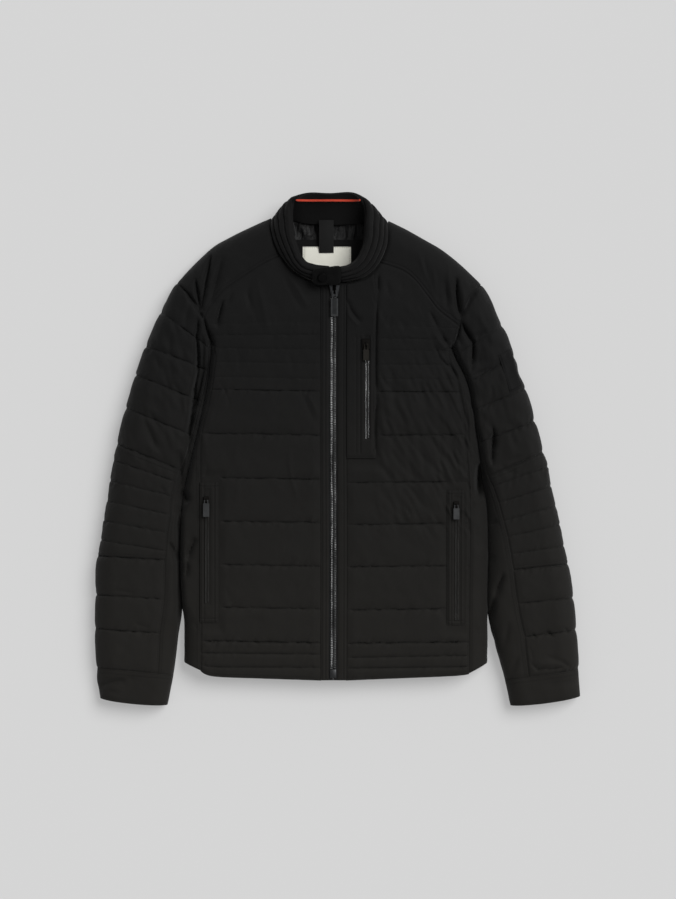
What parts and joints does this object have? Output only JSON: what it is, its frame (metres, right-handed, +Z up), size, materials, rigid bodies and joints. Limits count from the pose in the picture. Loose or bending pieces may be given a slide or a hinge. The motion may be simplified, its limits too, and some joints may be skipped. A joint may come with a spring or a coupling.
{
  "type": "quilted jacket laid flat",
  "caption": "Quilted zip jacket laid flat on its back: ribbed stand collar with tab, plain shoulder yokes, elbow panels, zipped chest and hand pockets, hollow body and sleeves.",
  "frame": {"origin": "on the surface, under the middle of the jacket's bounding box", "axes": "+X towards the wearer's left side, +Y towards the collar, +Z up off the surface, out of the jacket's front"},
  "size_m": [0.7317, 0.7692, 0.0693],
  "materials": {
    "shell": "matte black quilted microfibre, fine weave",
    "shell_plain": "matte black microfibre, plain, double top stitching at the seams",
    "lining": "dark grey satin lining, gathered below the collar",
    "piping": "bright red-orange woven piping",
    "label": "cream woven label, bare",
    "loop": "black woven tape",
    "zip_tape": "black woven zip tape",
    "zip_metal": "gunmetal zip teeth, slightly worn bright on their edges",
    "dark_metal": "dark gunmetal lacquered sliders, pull tabs and press stud",
    "patch": "smooth glossy black patch, bare"
  },
  "bodies": {
    "jacket": {"back": "shell_plain", "yoke_right": "shell_plain", "yoke_left": "shell_plain", "front_right": "shell", "front_left": "shell", "side_right": "shell_plain", "side_left": "shell_plain", "upper_sleeve_right": "shell", "upper_sleeve_left": "shell", "elbow_panel_right": "shell", "elbow_panel_left": "shell", "forearm_right": "shell", "forearm_left": "shell", "cuff_right": "shell_plain", "cuff_left": "shell_plain", "under_sleeve_right": "shell_plain", "under_sleeve_left": "shell_plain", "collar_outer": "shell", "collar_inner": "shell_plain", "collar_piping": "piping", "collar_tab": "shell_plain", "press_stud": "dark_metal", "neck_lining": "lining", "label": "label", "hanger_loop": "loop", "zip_guard_right": "shell_plain", "zip_guard_left": "shell_plain", "zip_tape_right": "zip_tape", "zip_tape_left": "zip_tape", "zip_chain": "zip_metal", "main_slider": "dark_metal", "chest_panel": "shell_plain", "chest_zip_chain": "zip_metal", "chest_slider": "dark_metal", "hand_welt_right": "shell_plain", "hand_welt_left": "shell_plain", "hand_zip_chain_right": "zip_tape", "hand_zip_chain_left": "zip_tape", "hand_right_slider": "dark_metal", "hand_left_slider": "dark_metal", "sleeve_patch": "patch"},
    "main_tab": {"main_pull_tab": "dark_metal"},
    "chest_tab": {"chest_pull_tab": "dark_metal"},
    "hand_tab_right": {"hand_right_pull_tab": "dark_metal"},
    "hand_tab_left": {"hand_left_pull_tab": "dark_metal"}
  },
  "joints": [
    {"name": "main_tab_swing", "type": "hinge", "parent": "jacket", "child": "main_tab", "pos_m": [-0.0052, 0.237, 0.04895], "axis": [-1, 0, 0], "range_deg": [0, 110]},
    {"name": "chest_tab_swing", "type": "hinge", "parent": "jacket", "child": "chest_tab", "pos_m": [0.042, 0.1575, 0.0524], "axis": [-1, 0, 0], "range_deg": [0, 150]},
    {"name": "hand_tab_swing_right", "type": "hinge", "parent": "jacket", "child": "hand_tab_right", "pos_m": [-0.197, -0.076, 0.05013], "axis": [-1, 0, 0], "range_deg": [0, 150]},
    {"name": "hand_tab_swing_left", "type": "hinge", "parent": "jacket", "child": "hand_tab_left", "pos_m": [0.177, -0.0834, 0.05033], "axis": [-1, 0, 0], "range_deg": [0, 150]}
  ]
}
